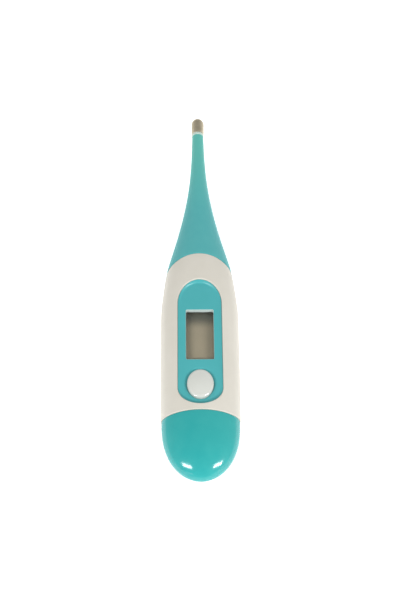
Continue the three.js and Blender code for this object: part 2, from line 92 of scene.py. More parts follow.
def along(key, y):
    """A size of the skin at y, on a cubic through the stations."""
    i = next((n for n, s in enumerate(STATIONS) if s[0] >= y), len(STATIONS) - 1)
    i = max(i, 1)
    (y0, low), (y1, high) = STATIONS[i - 1], STATIONS[i]
    span = y1 - y0
    t = min(max((y - y0) / span, 0), 1)
    rise = high[key] - low[key]
    a, b = slope_at(i - 1, key) * span - rise, rise - slope_at(i, key) * span
    return low[key] + t * rise + t * (1 - t) * (a * (1 - t) + b * t)


def dome_close(y, inset):
    """How far the dome has closed at y, from 1 at its start to 0 at its end."""
    reach = min(max((DOME_START - y) / (DOME_DEPTH - inset), 0), 1)
    return (1 - reach**DOME_SHOULDER) ** (1 / DOME_POLE)


def size_at(key, y, inset):
    return (along(key, max(y, DOME_START)) - inset) * dome_close(y, inset)


def on_skin(turn, y, inset=0.0):
    """The point of the skin at an angle from +X towards +Z, moved inwards, in metres."""
    x = size_at(HALF, y, inset) * math.cos(turn)
    key = ABOVE if math.sin(turn) >= 0 else BELOW
    z = AXIS_Z + size_at(key, y, inset) * math.sin(turn) - inset
    z = inset + (z + math.hypot(z, FLAT_EASE)) / 2 if z < AXIS_Z - 2 else z + inset
    return Vector((x, y, z)) * MM


print("crown at the key:", on_skin(math.pi / 2, -38.5) / MM)

# %% [markdown]
# ## Seams
# The shells meet the cap and the sleeve on arcs drawn from above. A point on a seam is found by
# guessing its width, reading its place along the arc, and going round again with the width there.

# %% Seams of the skin
CAP_SEAM = (-112.9, 65.5)  # centre along Y, and radius
NECK_SEAM = (-4.7, 13.3)
SEAM_GAP = 0.04  # half of the gap between two pieces
SEAM_ROUND = 0.18  # radius of a moulded edge at a seam


def seam_y(seam, turn, inset=0.0, shift=0.0):
    """Where the skin at an angle crosses a seam; shift moves the arc out or in."""
    centre, radius = seam[0], seam[1] + shift
    y = centre + radius
    for _ in range(6):
        x = size_at(HALF, y, inset) * math.cos(turn)
        y = centre + math.sqrt(radius**2 - min(abs(x), radius * 0.99) ** 2)
    return y


neck_ends = [round(seam_y(NECK_SEAM, turn), 2) for turn in (0, math.pi / 2)]
print("neck seam runs over y", neck_ends)

# %% [markdown]
# ## Growing a mesh loop by loop
# Shells, domes and rims are all closed loops that follow one another, like the hoops of a barrel.
# A loft or a subdivision cage could make them too, but here each hoop is a bmesh circle whose
# edges are extruded, and every new hoop is laid on the skin. The walls, the rounded edges and
# the hollow inside then come out as one closed surface with even quads.


# %% Tools for loops
def first_loop(bm, places):
    """A bmesh circle laid on the given places."""
    verts = bmesh.ops.create_circle(bm, segments=len(places), radius=MM)["verts"]
    for vert, place in zip(verts, places):
        vert.co = place
    return verts


def next_loop(bm, loop, places):
    """Extrudes a closed loop of edges, and lays the new loop on the given places."""
    made = bmesh.ops.extrude_edge_only(bm, edges=ring_edges(bm, loop))["geom"]
    fresh = {part for part in made if isinstance(part, bmesh.types.BMVert)}
    ahead = [
        next(e.other_vert(vert) for e in vert.link_edges if e.other_vert(vert) in fresh)
        for vert in loop
    ]
    for twin, place in zip(ahead, places):
        twin.co = place
    return ahead


def grow(bm, hoops, closed=False):
    """A surface through a list of hoops; closed joins the last hoop to the first."""
    hoops = [*hoops, hoops[0]] if closed else hoops
    start = loop = first_loop(bm, hoops[0])
    for places in hoops[1:]:
        loop = next_loop(bm, loop, places)
    return start, loop


def ring_edges(bm, loop):
    """The edges of a closed loop of vertices."""
    return [bm.edges.get(pair) for pair in zip(loop, loop[1:] + loop[:1])]


def fill(bm, *loops):
    """Fills the flat between closed loops, or inside a single one."""
    edges = [edge for loop in loops for edge in ring_edges(bm, loop)]
    bmesh.ops.triangle_fill(bm, edges=edges, use_beauty=True, use_dissolve=False)


def keep(bm, name, finish, body=None, replaces=(), crease=35):
    """Welds a bmesh, turns it right side out, and makes it a piece that rides on a body."""
    bmesh.ops.remove_doubles(bm, verts=bm.verts, dist=0.0004 * MM)
    bmesh.ops.dissolve_degenerate(bm, edges=bm.edges, dist=0.0002 * MM)
    bmesh.ops.recalc_face_normals(bm, faces=bm.faces)
    mesh = bpy.data.meshes.new(name)
    bm.to_mesh(mesh)
    bm.free()
    mesh.shade_smooth()
    mesh.set_sharp_from_angle(angle=math.radians(crease))
    piece = bpy.data.objects.new(name, mesh)
    bpy.context.scene.collection.objects.link(piece)
    piece.data.materials.append(finish)
    if body:
        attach(piece, body)
    if replaces:
        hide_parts(*replaces)
    print(name, "has", len(mesh.polygons), "faces")
    return piece


def ease(start, end, steps):
    """Fractions from start to end that crowd towards both."""
    turns = [math.pi * i / steps for i in range(steps + 1)]
    return [start + (end - start) * (1 - math.cos(t)) / 2 for t in turns]


def quarter(steps=4):
    """Points of a quarter circle of radius 1, as (across, down): from (1, 0) to (0, 1)."""
    turns = [math.pi / 2 * i / steps for i in range(steps + 1)]
    return [(1 - math.sin(t), 1 - math.cos(t)) for t in turns]


# %% [markdown]
# ## Shader maths
# A finish is easier to read as arithmetic than as a web of nodes. Flow wraps one socket and turns
# +, - and * into Math nodes. Paint holds one material, and its add method makes any other node:
# its settings are set first, and then the values or links of its sockets.


# %% Flow and Paint
class Flow:
    """One output socket of a material, for shader maths written as Python."""

    def __init__(self, paint, socket):
        self.paint = paint
        self.socket = socket

    def math(self, operation, first, second):
        return self.paint.add("ShaderNodeMath", {"operation": operation}, {0: first, 1: second})

    def __add__(self, other):
        return self.math("ADD", self, other)

    def __sub__(self, other):
        return self.math("SUBTRACT", self, other)

    def __rsub__(self, other):
        return self.math("SUBTRACT", other, self)

    def __mul__(self, other):
        return self.math("MULTIPLY", self, other)

    __radd__ = __add__
    __rmul__ = __mul__


class Paint:
    """A node material built round one Principled shader."""

    def __init__(self, name, **sockets):
        self.material = bpy.data.materials.new(name)
        self.material.use_nodes = True
        self.tree = self.material.node_tree
        self.shader = self.tree.nodes["Principled BSDF"]
        self.set(**sockets)

    def link(self, socket, value):
        if isinstance(value, Flow):
            self.tree.links.new(value.socket, socket)
        else:
            socket.default_value = value

    def add(self, kind, settings=None, inputs=None, output=0):
        node = self.tree.nodes.new(kind)
        for key, value in (settings or {}).items():
            if key == "stops":
                self.set_stops(node.color_ramp, value)
            else:
                setattr(node, key, value)
        for key, value in (inputs or {}).items():
            self.link(node.inputs[key], value)
        return Flow(self, node.outputs[output])

    def set_stops(self, ramp, stops):
        while len(ramp.elements) < len(stops):
            ramp.elements.new(0.5)
        for element, (place, colour) in zip(ramp.elements, stops):
            element.position = place
            element.color = colour

    def set(self, **sockets):
        for name, value in sockets.items():
            self.link(self.shader.inputs[name.replace("_", " ")], value)

    def place(self, stretch=(1, 1, 1), shift=(0, 0, 0)):
        """Object coordinates, stretched and shifted."""
        own = self.add("ShaderNodeTexCoord", output=3)
        values = {"Vector": own, "Scale": stretch, "Location": shift}
        return self.add("ShaderNodeMapping", None, values)

    def noise(self, size_mm, detail=2.0, stretch=(1, 1, 1), shift=(0, 0, 0)):
        """A soft random value whose grains are about size_mm across."""
        where = self.place(stretch, shift)
        values = {"Vector": where, "Scale": 1 / (size_mm * MM), "Detail": detail}
        return self.add("ShaderNodeTexNoise", None, values)

    def mix(self, share, first, second):
        """A colour between two others."""
        return self.add("ShaderNodeMix", {"data_type": "RGBA"}, {0: share, 6: first, 7: second}, 2)

    def bump(self, height, depth_mm, strength=1.0):
        values = {"Strength": strength, "Distance": depth_mm * MM, "Height": height}
        return self.add("ShaderNodeBump", None, values)

    def smooth_step(self, value, start, end):
        """0 before start, 1 after end, and smooth between."""
        settings = {"interpolation_type": "SMOOTHSTEP"}
        values = {0: value, 1: start, 2: end, 3: 0.0, 4: 1.0}
        return self.add("ShaderNodeMapRange", settings, values)


def colour(red, green, blue):
    """A colour given as screen values from 0 to 255, in Blender's linear values."""
    linear = []
    for screen in (red, green, blue):
        c = screen / 255
        linear.append(c / 12.92 if c <= 0.04045 else ((c + 0.055) / 1.055) ** 2.4)
    return (*linear, 1.0)


# %% [markdown]
# ## Moulded plastics
# The shells, the panel and the cap are injection moulded ABS. Real mouldings are never one flat
# colour: the pigment drifts a little as the melt flows, a spark-eroded tool leaves a faint grain,
# and handling changes the gloss in patches. One function makes all of them, and only the colour,
# the gloss and the grain change from one to the next.


# %% Plastic finishes
def moulded(name, tone, deep, gloss, grain_mm=0.35, grain_depth=0.004, coat=0.0):
    paint = Paint(name, IOR=1.5, Coat_Weight=coat, Coat_Roughness=0.08)
    flow = paint.noise(14, detail=3, stretch=(1, 0.35, 1))
    cloud = paint.noise(4, detail=4, shift=(0.3, 0.1, 0.2))
    grain = paint.noise(grain_mm, detail=3)
    paint.set(
        Base_Color=paint.mix(paint.smooth_step(flow * 0.7 + cloud * 0.3, 0.3, 0.7), deep, tone),
        Roughness=gloss + (cloud - 0.5) * 0.12 + (grain - 0.5) * 0.06,
        Normal=paint.bump(grain, grain_depth),
    )
    return paint.material


WHITE_ABS = moulded("white_abs", colour(204, 200, 190), colour(199, 195, 184), 0.42)
PANEL_ABS = moulded("panel_abs", colour(72, 164, 168), colour(67, 160, 163), 0.36)
CAP_ABS = moulded(
    "cap_abs", colour(49, 158, 156), colour(36, 152, 152), 0.15, 0.5, 0.002, coat=0.08
)
KEY_GLOSS = moulded(
    "key_gloss", colour(200, 202, 196), colour(196, 198, 191), 0.1, 0.6, 0.001, coat=0.9
)
COLLAR_WHITE = moulded("collar_white", colour(183, 201, 192), colour(177, 196, 186), 0.35)
IVORY_ABS = moulded("ivory_abs", colour(214, 208, 192), colour(206, 199, 181), 0.5)
# painted highlight: the pale finish of the window's edge frame stands for light caught on the
# window's walls
WINDOW_HIGHLIGHT_EDGE = moulded("window_highlight_edge", colour(205, 220, 216), colour(196, 212, 208), 0.3)
print("plastics:", len(bpy.data.materials))

# %% [markdown]
# ## Soft sleeve
# The sleeve is a thermoplastic rubber. It is matt, slightly hazy where it turns away from the
# eye, and its grain is finer and deeper than that of the hard mouldings. A little sheen gives it
# the soft edge that rubber has, and the tone drifts along the length, greener at the thin end.


# %% Rubber finish
def rubber():
    paint = Paint("soft_rubber", IOR=1.48, Sheen_Weight=0.12, Sheen_Roughness=0.45)
    paint.shader.inputs["Sheen Tint"].default_value = colour(190, 226, 222)
    own = paint.add("ShaderNodeTexCoord", output=3)
    y = paint.add("ShaderNodeSeparateXYZ", None, {0: own}, 1)
    thin_end = paint.smooth_step(y, 22 * MM, 58 * MM)
    cloud = paint.noise(3, detail=3)
    grain = paint.noise(0.12, detail=3)
    tone = paint.mix(thin_end, colour(74, 162, 164), colour(84, 172, 162))
    worn = paint.mix((cloud - 0.4) * 0.4, tone, colour(96, 178, 174))
    paint.set(
        Base_Color=worn,
        Roughness=0.52 + (cloud - 0.5) * 0.14,
        Normal=paint.bump(grain, 0.006),
    )
    return paint.material


SOFT_RUBBER = rubber()

# %% [markdown]
# ## Metals
# The tip is drawn stainless steel, polished round its axis, so its finest scratches are rings.
# Stretching a noise across the axis and squeezing it along the axis gives such rings. The springs
# and the buzzer plate are brass, and the battery is plated steel. They share the recipe.


# %% Metal finishes
def metal(name, tone, dull, gloss, stretch, depth=0.002):
    paint = Paint(name, Metallic=1.0)
    rings = paint.noise(1.2, detail=3, stretch=stretch)
    stain = paint.noise(2.2, detail=4, shift=(0.1, 0.4, 0.2))
    paint.set(
        Base_Color=paint.mix(paint.smooth_step(stain, 0.35, 0.75), tone, dull),
        Roughness=gloss + (rings - 0.5) * 0.2 + (stain - 0.5) * 0.1,
        Normal=paint.bump(rings, depth),
    )
    return paint.material


TIP_STEEL = metal("tip_steel", colour(203, 193, 169), colour(187, 177, 152), 0.5, (1, 14, 1))
CELL_STEEL = metal("cell_steel", colour(196, 196, 192), colour(176, 174, 168), 0.28, (1, 1, 14))
SPRING_BRASS = metal("spring_brass", colour(214, 178, 98), colour(186, 148, 76), 0.3, (14, 1, 1))
REFLECTOR = metal("reflector_foil", colour(190, 190, 184), colour(172, 172, 166), 0.45, (3, 3, 3))

# %% [markdown]
# ## Display
# Behind the clear window lies a display cell: two glasses, with a polariser film on the front
# that looks a warm grey-brown when the instrument is off. The film's far end carries painted shade,
# standing for the shadow under the window's far wall, and it fades out towards the middle. Its
# right side is a little darker with painted shade too. The window itself is thin clear acrylic.
# Full refraction would only hide the display behind noise, so it is mostly transparent, with its
# gloss kept.


# %% Display finishes
def polariser(low_y, high_y):
    paint = Paint("polariser_film_painted_shade", IOR=1.5, Coat_Weight=0.4, Coat_Roughness=0.1)
    own = paint.add("ShaderNodeTexCoord", output=3)
    y = paint.add("ShaderNodeSeparateXYZ", None, {0: own}, 1)
    x = paint.add("ShaderNodeSeparateXYZ", None, {0: own}, 0)
    # painted shade: the film's far end darkens, standing for the shadow under the window's far wall
    far_end_shade = paint.smooth_step(y, low_y * MM, high_y * MM)
    # painted shade: the film's right side darkens a little, standing for the window wall's shadow
    # there
    edge = paint.smooth_step(x, 3.3 * MM, 4.3 * MM)
    haze = paint.noise(5, detail=2)
    weave = paint.noise(0.1, detail=2, stretch=(1, 8, 1))
    film = paint.mix(haze, colour(141, 132, 110), colour(147, 137, 115))
    shaded = paint.mix(far_end_shade * 0.94, film, colour(64, 66, 54))
    paint.set(
        Base_Color=paint.mix(edge * 0.15, shaded, colour(80, 80, 62)),
        Roughness=0.34 + (haze - 0.5) * 0.1,
        Normal=paint.bump(weave, 0.001),
    )
    return paint.material


def clear(name, tint, cover):
    paint = Paint(name, IOR=1.49, Roughness=0.04, Base_Color=tint)
    smear = paint.noise(2.5, detail=4, stretch=(1, 0.4, 1))
    paint.set(
        Alpha=cover + (smear - 0.5) * cover,
        Roughness=0.05 + paint.smooth_step(smear, 0.5, 0.8) * 0.12,
    )
    return paint.material


# the painted shade at the far end of the film runs from y -18.0 to -13.4 mm
POLARISER = polariser(-18.0, -13.4)
CLEAR_ACRYLIC = clear("clear_acrylic", colour(150, 154, 150), 0.03)
REAR_GLASS = clear("rear_glass", colour(170, 180, 172), 0.6)


# %% [markdown]
# ## Hidden parts
# The board, the chip, the foam, the silicone and the resin are seen only when the instrument is
# open, but each is a different stuff, so each has its own small recipe. Fine grain and a second
# tone are enough for most of them. The board also shows its tracks under the green mask.


# %% Finishes inside
def inner(name, tone, deep, gloss, grain_mm=0.5, depth=0.01):
    paint = Paint(name, IOR=1.45)
    cloud = paint.noise(grain_mm * 5, detail=3)
    grain = paint.noise(grain_mm, detail=4)
    paint.set(
        Base_Color=paint.mix(paint.smooth_step(cloud * 0.6 + grain * 0.4, 0.35, 0.65), deep, tone),
        Roughness=gloss + (grain - 0.5) * 0.2,
        Normal=paint.bump(grain, depth),
    )
    return paint.material


def board():
    paint = Paint("board_green", IOR=1.5, Roughness=0.35)
    settings = {"offset": 0.35, "offset_frequency": 2, "squash": 1.6, "squash_frequency": 3}
    values = {
        "Vector": paint.place(),
        "Scale": 260.0,
        "Mortar Size": 0.07,
        "Mortar Smooth": 0.1,
        "Brick Width": 0.9,
        "Row Height": 0.3,
    }
    track = paint.add("ShaderNodeTexBrick", settings, values, 1)
    mask = paint.mix(paint.noise(6), colour(24, 98, 62), colour(34, 116, 74))
    paint.set(
        Base_Color=paint.mix(track, mask, colour(58, 148, 92)),
        Normal=paint.bump(track, 0.03),
    )
    return paint.material


BOARD_GREEN = board()
BLACK_FOAM = inner("black_foam", colour(58, 58, 54), colour(36, 36, 34), 0.85, 0.2, 0.03)
BLACK_EPOXY = inner("black_epoxy", colour(30, 31, 34), colour(20, 21, 24), 0.3, 0.8, 0.005)
CERAMIC = inner("fired_ceramic", colour(190, 172, 146), colour(170, 150, 124), 0.6, 0.2, 0.006)
SILICONE = inner("soft_silicone", colour(206, 210, 208), colour(190, 196, 194), 0.55, 0.4, 0.004)
WIRE_GREY = inner("wire_insulation", colour(182, 184, 186), colour(164, 166, 170), 0.5, 0.3, 0.003)
RESIN = inner("thermal_resin", colour(122, 98, 72), colour(96, 76, 54), 0.4, 0.6, 0.008)
print("finishes:", len(bpy.data.materials))

# %% [markdown]
# ## Front shell
# The white front shell is half of the handle, with an oval well for the panel. Its surface is a
# ring of hoops that start at the well's edge and end at the shell's own edge, where it meets the
# cap, the sleeve and the back shell. Both sets of edges are rounded as a mould leaves them. The
# hoops are spread in the skin's own directions, so every one of them lies exactly on the skin.

# %% Outline of the well, and of a shell
PANEL_HALF = 6.6
PANEL_FRONT, FRONT_DEPTH = -9.8, 8.2  # centre of the front end's ellipse, and its depth
PANEL_BACK, BACK_DEPTH = -39.4, 6.0
END_STEPS = 64  # hoops have this many points round each end
SIDE_STEPS = 30  # and this many along each side


def well_outline(grow_by=0.0):
    """Points (x, y) round the oval of the well, made larger by a distance in mm."""
    half = PANEL_HALF + grow_by
    points = []
    for centre, depth, start in ((PANEL_FRONT, FRONT_DEPTH, 0), (PANEL_BACK, BACK_DEPTH, math.pi)):
        for i in range(END_STEPS):
            t = start + math.pi * i / END_STEPS
            points.append((half * math.cos(t), centre + (depth + grow_by) * math.sin(t)))
        side = half * math.cos(start + math.pi)
        other = PANEL_BACK if centre == PANEL_FRONT else PANEL_FRONT
        for i in range(SIDE_STEPS):
            points.append((side, centre + (other - centre) * i / SIDE_STEPS))
    return points


def edge_outline(margin, inset, lower=False):
    """(turn, y) round a shell's edge, moved in from its seams by margin and under by inset."""
    reach = SEAM_GAP + margin

    def low_turn(y):
        return math.asin(min(reach / size_at(BELOW if lower else ABOVE, y, inset), 1))

    def side_point(y, left):
        t = low_turn(y)
        return (math.pi - t if left else t, y)

    neck_side = seam_y(NECK_SEAM, 0, inset, -reach)
    cap_side = seam_y(CAP_SEAM, 0, inset, reach)
    points = []
    for front in (True, False):
        corner = neck_side if front else cap_side
        centre = PANEL_FRONT if front else PANEL_BACK
        for i in range(END_STEPS):
            f = i / END_STEPS
            if f < 0.25:
                points.append(side_point(centre + (corner - centre) * f * 4, not front))
            elif f <= 0.75:
                low = low_turn(corner)
                t = low + (math.pi - 2 * low) * (f - 0.25) * 2
                t = t if front else math.pi - t
                seam, shift = (NECK_SEAM, -reach) if front else (CAP_SEAM, reach)
                points.append((t, seam_y(seam, t, inset, shift)))
            else:
                points.append(side_point(corner + (centre - corner) * (f - 0.75) * 4, front))
        other = PANEL_BACK if front else PANEL_FRONT
        for i in range(SIDE_STEPS):
            points.append(side_point(centre + (other - centre) * i / SIDE_STEPS, front))
    return [(-t, y) for t, y in points] if lower else points


def to_turns(points):
    """Plan points (x, y) over the front of the skin, as (turn, y)."""
    return [(math.acos(max(-1, min(1, x / size_at(HALF, y, 0)))), y) for x, y in points]


def laid(turns, inset=0.0):
    return [on_skin(t, y, inset) for t, y in turns]


def between(first, second, share):
    return [(a + (c - a) * share, b + (d - b) * share) for (a, b), (c, d) in zip(first, second)]


print("points in a hoop:", len(well_outline()))

# %% Front shell
WALL = 1.3
WELL_UNDER = 8.8
WELL_ROUND = 0.3


def lowered(points, drop):
    """Plan points laid on the skin and then dropped by a distance in mm."""
    return [on_skin(t, y) - Vector((0, 0, drop * MM)) for t, y in to_turns(points)]


def at_height(points, z):
    return [Vector((x, y, z)) * MM for x, y in points]


def front_shell():
    bm = bmesh.new()
    hoops = [at_height(well_outline(), WELL_UNDER), at_height(well_outline(), WELL_UNDER + 1)]
    for across, down in reversed(quarter(5)):
        hoops.append(lowered(well_outline(across * WELL_ROUND), down * WELL_ROUND))
    inside, outside = to_turns(well_outline(WELL_ROUND)), edge_outline(SEAM_ROUND, 0)
    hoops += [laid(between(inside, outside, share)) for share in ease(0, 1, 20)[1:-1]]
    for across, down in quarter():
        drop = down * SEAM_ROUND
        hoops.append(laid(edge_outline(across * SEAM_ROUND, drop), drop))
    under = edge_outline(0, WALL)
    hoops.append(laid(under, WALL))
    well = to_turns(well_outline(1.0))
    hoops += [laid(between(under, well, share), WALL) for share in (0.2, 0.4, 0.6, 0.8)]
    hoops.append(at_height(well_outline(0.9), WELL_UNDER))
    grow(bm, hoops, closed=True)
    return keep(bm, "front_shell_skin", WHITE_ABS, "housing", ["front_shell"])


front_shell()

# %% [markdown]
# ## Back shell
# The back shell is the same idea without a well: its hoops shrink to a line down the middle of
# the back, outside and inside, and the weld closes them there.

# %% Back shell


def back_shell():
    bm = bmesh.new()
    edge = edge_outline(SEAM_ROUND, 0, lower=True)
    spine = [(-math.pi / 2, max(min(y, PANEL_FRONT), PANEL_BACK)) for _, y in edge]
    hoops = [laid(spine)]
    hoops += [laid(between(spine, edge, share)) for share in ease(0, 1, 24)[1:-1]]
    for across, down in quarter():
        drop = down * SEAM_ROUND
        hoops.append(laid(edge_outline(across * SEAM_ROUND, drop, lower=True), drop))
    under = edge_outline(0, WALL, lower=True)
    hoops += [laid(between(under, spine, share), WALL) for share in (0, 0.2, 0.4, 0.6, 0.8, 1)]
    grow(bm, hoops)
    return keep(bm, "back_shell_skin", WHITE_ABS, "housing", ["back_shell"])


back_shell()

# %% [markdown]
# ## Battery cap
# The cap is a blown-out thimble: a dome with a thin wall that plugs over the battery bay. Hoops
# run from the inside of the dome out over the rim and back along the outside, so the hollow is
# there when the cap is pulled off. Near the seam the hoops follow its arc, and further back they
# straighten. They crowd together towards the pole, where the skin turns in fastest.

# %% Battery cap
RING = 128  # points round a full hoop


def full_turn(count=RING):
    return [2 * math.pi * i / count for i in range(count)]


def seam_hoop(seam, shift, inset, share=0.0, far=0.0):
    """A full hoop on a seam, or a share of the way from it to a plain section at far."""
    places = []
    for t in full_turn():
        y = seam_y(seam, t, inset, shift)
        places.append(on_skin(t, y + (far - y) * share, inset))
    return places


def battery_cap():
    bm = bmesh.new()
    straight = DOME_START - 4.0
    inner_skin = CAP_INSET + WALL
    hoops = []
    for inset, steps, order in ((inner_skin, 20, 1), (CAP_INSET, 40, -1)):
        end = DOME_START - (DOME_DEPTH - inset)
        part = []
        for i in range(steps):
            y = end + (straight - end) * (1 - math.cos(math.pi / 2 * i / steps))
            part.append([on_skin(t, y, inset) for t in full_turn()])
        for share in (1, 0.8, 0.6, 0.4, 0.2):
            part.append(seam_hoop(CAP_SEAM, -SEAM_GAP - SEAM_ROUND, inset, share, straight))
        if order > 0:
            part.append(seam_hoop(CAP_SEAM, -SEAM_GAP, inset))
            hoops += part
            rim = [
                seam_hoop(CAP_SEAM, -SEAM_GAP - across * SEAM_ROUND, CAP_INSET + down * SEAM_ROUND)
                for across, down in quarter()
            ]
            hoops += reversed(rim)
        else:
            hoops += reversed(part)
    grow(bm, hoops)
    return keep(bm, "cap_dome", CAP_ABS, "end_cap", ["battery_cap"])


battery_cap()

# %% [markdown]
# ## Sleeve
# The sleeve bends at five places, and one mesh can bend only between two bodies. So it is made in
# five lengths that butt together in the middle of each link; here they are baked in place on no
# body. All of them lie on the same skin, so no joint shows.

# %% Sleeve
HINGES = (35, 40, 45, 50, 55)
REACH = 2.5  # half of a length that bends
BORE = 1.15
COLLAR_BACK = 59.75


def bore_hoop(y):
    return [Vector((BORE * math.cos(t), y, AXIS_Z + BORE * math.sin(t))) * MM for t in full_turn()]


def flare_start():
    """The flare's rounded edge at the neck seam, and the hoops up to a plain section."""
    plain = 14.0
    hoops = [seam_hoop(NECK_SEAM, SEAM_GAP, 3.2)]
    for across, down in reversed(quarter()):
        shift = SEAM_GAP + across * SEAM_ROUND
        hoops.append(seam_hoop(NECK_SEAM, shift, down * SEAM_ROUND))
    for share in (0.1, 0.25, 0.4, 0.55, 0.7, 0.85):
        hoops.append(seam_hoop(NECK_SEAM, SEAM_GAP + SEAM_ROUND, 0, share, plain))
    return hoops, plain


def sleeve_length(number):
    bm = bmesh.new()
    hinge = HINGES[number]
    back, front = hinge - REACH, hinge + REACH
    if number == len(HINGES) - 1:
        front = COLLAR_BACK - SEAM_GAP
    hoops = []
    if number == 0:
        hoops, back = flare_start()
    step = 0.5
    steps = round((front - back) / step)
    rows = [back + (front - back) * i / steps for i in range(steps + 1)]
    hoops += [[on_skin(t, y) for t in full_turn()] for y in rows]
    inside = [bore_hoop(y) for y in reversed(rows) if number or y > 26]
    grow(bm, hoops + inside, closed=True)
    nodes = [f"sleeve_link_{number + 1}"] + (["sleeve_root"] if number == 0 else [])
    piece = keep(bm, f"sleeve_length_{number + 1}", SOFT_RUBBER, None, nodes, 50)
    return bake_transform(piece)


for number in range(len(HINGES)):
    sleeve_length(number)

# %% [markdown]
# ## Tip
# A drawn steel thimble covers the sensor, and a pale collar seals it to the sleeve. Both are
# turned parts, so each is a profile spun about the probe's axis with bmesh's spin. The thimble's
# rear edge is rolled, which leaves the fine dark line that a real one shows against the collar.


# %% Turned pieces
def spun(name, finish, body, profile, replaces, steps=96):
    """Spins a closed or open profile of (radius, y) about the probe's axis."""
    bm = bmesh.new()
    verts = [bm.verts.new((r * MM, y * MM, AXIS_Z * MM)) for r, y in profile]
    edges = [bm.edges.new(pair) for pair in zip(verts, verts[1:])]
    centre, axis = (0, 0, AXIS_Z * MM), (0, 1, 0)
    bmesh.ops.spin(
        bm, geom=verts + edges, cent=centre, axis=axis, angle=2 * math.pi,
        steps=steps, use_merge=True,
    )
    return keep(bm, name, finish, body, replaces)


TIP_RADIUS = 2.0
TIP_WALL = 0.25
TIP_BACK = 60.75
TIP_FRONT = 67.25


def nose(radius, steps=14):
    turns = [math.pi / 2 * i / steps for i in range(steps + 1)]
    centre = TIP_FRONT - TIP_RADIUS
    return [(max(radius * math.cos(t), 0.0), centre + radius * math.sin(t)) for t in turns]


thin = TIP_RADIUS - TIP_WALL
outer_wall = [(TIP_RADIUS, y) for y in (61.1, 62, 63, 64)]
rolled = [(thin, TIP_BACK), (1.88, TIP_BACK), (1.95, 60.79), (1.99, 60.88)]
thimble = rolled + outer_wall + nose(TIP_RADIUS) + nose(thin)[::-1] + [(thin, TIP_BACK)]
spun("tip_thimble", TIP_STEEL, "probe_tip", thimble, ["tip_cap"])

COLLAR_BORE, COLLAR_TAIL, COLLAR_NOSE = 0.85, 58, 62.5  # its bore, and its ends along Y
collar = [(COLLAR_BORE, COLLAR_TAIL), (1.13, COLLAR_TAIL), (1.13, COLLAR_BACK)]
collar += [(1.8, COLLAR_BACK), (1.89, 59.8), (1.92, 59.9), (1.92, 60.55), (1.89, 60.66)]
collar += [(1.8, 60.7), (1.65, 60.7), (1.65, COLLAR_NOSE), (COLLAR_BORE, COLLAR_NOSE)]
collar.append((COLLAR_BORE, COLLAR_TAIL))
spun("tip_collar_ring", COLLAR_WHITE, "probe_tip", collar, ["tip_collar"])

# %% [markdown]
# ## Face panel
# The panel is a turquoise tray in the well. Its rim stands just under the shell's edge and falls
# in a hollow curve to a flat floor. The floor is pierced by the window and the key hole, each with
# an eased edge, and it dips a little towards the key. The rim and the edges are hoops, and the
# flat between them is filled with bmesh's triangle fill, which copes with any holes.

# %% Face panel
FLOOR = 10.65
PANEL_GAP = 0.06
BORDER = 0.95
DISH_WIDE = 1.15
WINDOW_Y, WINDOW_HALF, WINDOW_LONG = -20.9, 4.1, 8.75
WINDOW_GAP = 0.06
KEY_Y, KEY_HALF, KEY_LONG = -38.2, 3.9, 4.85


def oval(y, half, long, count=96):
    turns = [2 * math.pi * i / count for i in range(count)]
    return [(half * math.cos(t), y + long * math.sin(t)) for t in turns]


def rounded_window(grow_by, corner=0.35, steps=5):
    """Points round the window's opening, with small round corners."""
    half, long = WINDOW_HALF + grow_by, WINDOW_LONG + grow_by
    corner = max(corner + grow_by, 0.05)
    points = []
    for k, (sx, sy) in enumerate(((1, 1), (-1, 1), (-1, -1), (1, -1))):
        for i in range(steps + 1):
            t = math.pi / 2 * (k + i / steps)
            x = sx * (half - corner) + corner * math.cos(t)
            points.append((x, WINDOW_Y + sy * (long - corner) + corner * math.sin(t)))
    return points


def border_hoop(share):
    """A hoop of the tray's border: share 0 is its rim under the shell, and 1 the floor."""
    inset = PANEL_GAP + 0.12 + (BORDER - 0.12) * share
    fall = (1 - share) ** 2.4
    places = []
    for (x, y), place in zip(well_outline(-inset), lowered(well_outline(-inset), 0.28)):
        height = FLOOR + (place.z / MM - FLOOR) * fall
        places.append(Vector((x, y, height)) * MM)
    return places


def dish_hoop(out, drop):
    """A hoop round the key hole, drawn in where the tray's border leaves less room."""
    edge = oval(KEY_Y, KEY_HALF, KEY_LONG)
    limit = [Vector(point) for point in well_outline(-PANEL_GAP - BORDER - 0.15)]
    hoop = []
    for i, (x, y) in enumerate(edge):
        room = min(1, min((point - Vector((x, y))).length for point in limit) / DISH_WIDE)
        t = 2 * math.pi * i / len(edge)
        x, y = (KEY_HALF + out * room) * math.cos(t), KEY_Y + (KEY_LONG + out * room) * math.sin(t)
        hoop.append(Vector((x, y, FLOOR - drop * room)) * MM)
    return hoop


